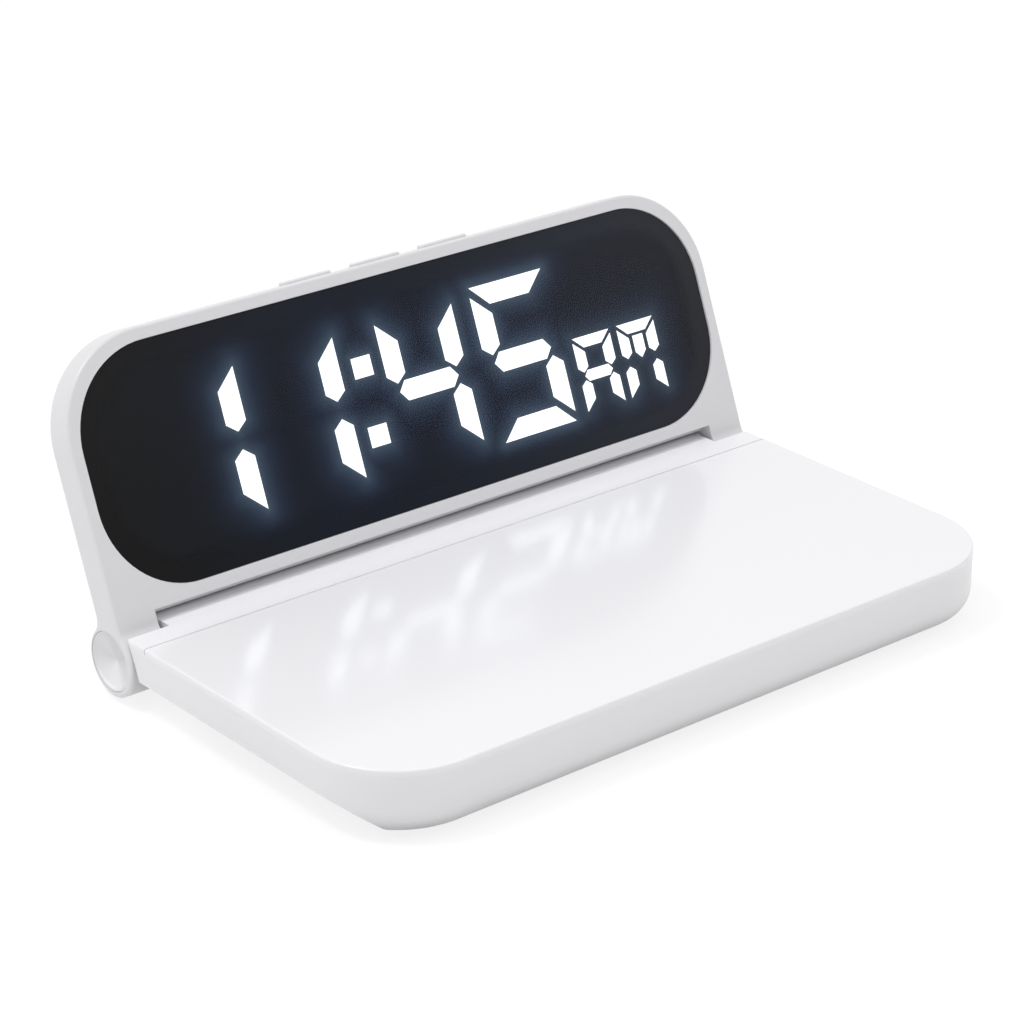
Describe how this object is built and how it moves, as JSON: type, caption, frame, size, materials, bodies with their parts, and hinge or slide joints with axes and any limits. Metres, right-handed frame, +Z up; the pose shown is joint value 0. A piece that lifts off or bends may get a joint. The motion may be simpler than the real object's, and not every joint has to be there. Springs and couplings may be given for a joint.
{
  "type": "wireless charging clock",
  "caption": "Folding wireless charging clock: a flat charging base with a hinged panel that shows the time in light bars behind a smoked lens",
  "frame": {"origin": "on the table under the middle of the clock's outline", "axes": "+X across the clock to the viewer's right, +Y from the front edge to the hinge, +Z up"},
  "size_m": [0.1614, 0.106, 0.0662],
  "materials": {
    "shell_white": "satin",
    "plate_white": "gloss",
    "cap_white": "satin",
    "key_white": "satin",
    "smoked_lens": "gloss",
    "reflector_black": "matte",
    "light_bar": "lit",
    "dark_bar": "matte",
    "foot_rubber": "matte",
    "steel": "plated",
    "brass": "satin",
    "copper": "enamelled wire",
    "ferrite": "matte",
    "circuit_board": "satin",
    "chip_black": "matte",
    "washer_plastic": "matte",
    "lead_black": "matte"
  },
  "bodies": {
    "base": {"base_shell": "shell_white", "top_plate": "plate_white", "hinge_strip": "plate_white", "bottom_cover": "shell_white", "rubber_feet": "foot_rubber", "base_screws": "steel", "charging_coil": "copper", "coil_wires": "copper", "ferrite_sheet": "ferrite", "main_board": "circuit_board", "board_parts": "chip_black", "board_screws": "steel", "inlet_shell": "steel", "inlet_core": "chip_black", "friction_sleeves": "steel", "hinge_washers": "washer_plastic", "base_lead": "lead_black"},
    "display": {"display_housing": "shell_white", "rear_cover": "shell_white", "rear_screws": "steel", "display_lens": "smoked_lens", "light_reflector": "reflector_black", "lit_bars": "light_bar", "dark_bars": "dark_bar", "led_board": "circuit_board", "bar_lights": "light_bar", "clock_chips": "chip_black", "alarm_disc": "brass", "key_switches": "chip_black", "hinge_pins": "steel", "hinge_caps": "cap_white", "display_lead": "lead_black"},
    "left_key": {"key_left": "key_white"},
    "middle_key": {"key_middle": "key_white"},
    "right_key": {"key_right": "key_white"}
  },
  "joints": [
    {"name": "panel_hinge", "type": "hinge", "parent": "base", "child": "display", "pos_m": [0, 0.03002, 0.00815], "axis": [-1, 0, 0], "range_deg": [-15, 68.3]},
    {"name": "left_key_press", "type": "slide", "parent": "display", "child": "left_key", "axis": [0, -0.3697, -0.9291], "range_m": [0, 0.0003], "stiffness_N_per_m": 3000},
    {"name": "middle_key_press", "type": "slide", "parent": "display", "child": "middle_key", "axis": [0, -0.3697, -0.9291], "range_m": [0, 0.0003], "stiffness_N_per_m": 3000},
    {"name": "right_key_press", "type": "slide", "parent": "display", "child": "right_key", "axis": [0, -0.3697, -0.9291], "range_m": [0, 0.0003], "stiffness_N_per_m": 3000}
  ]
}
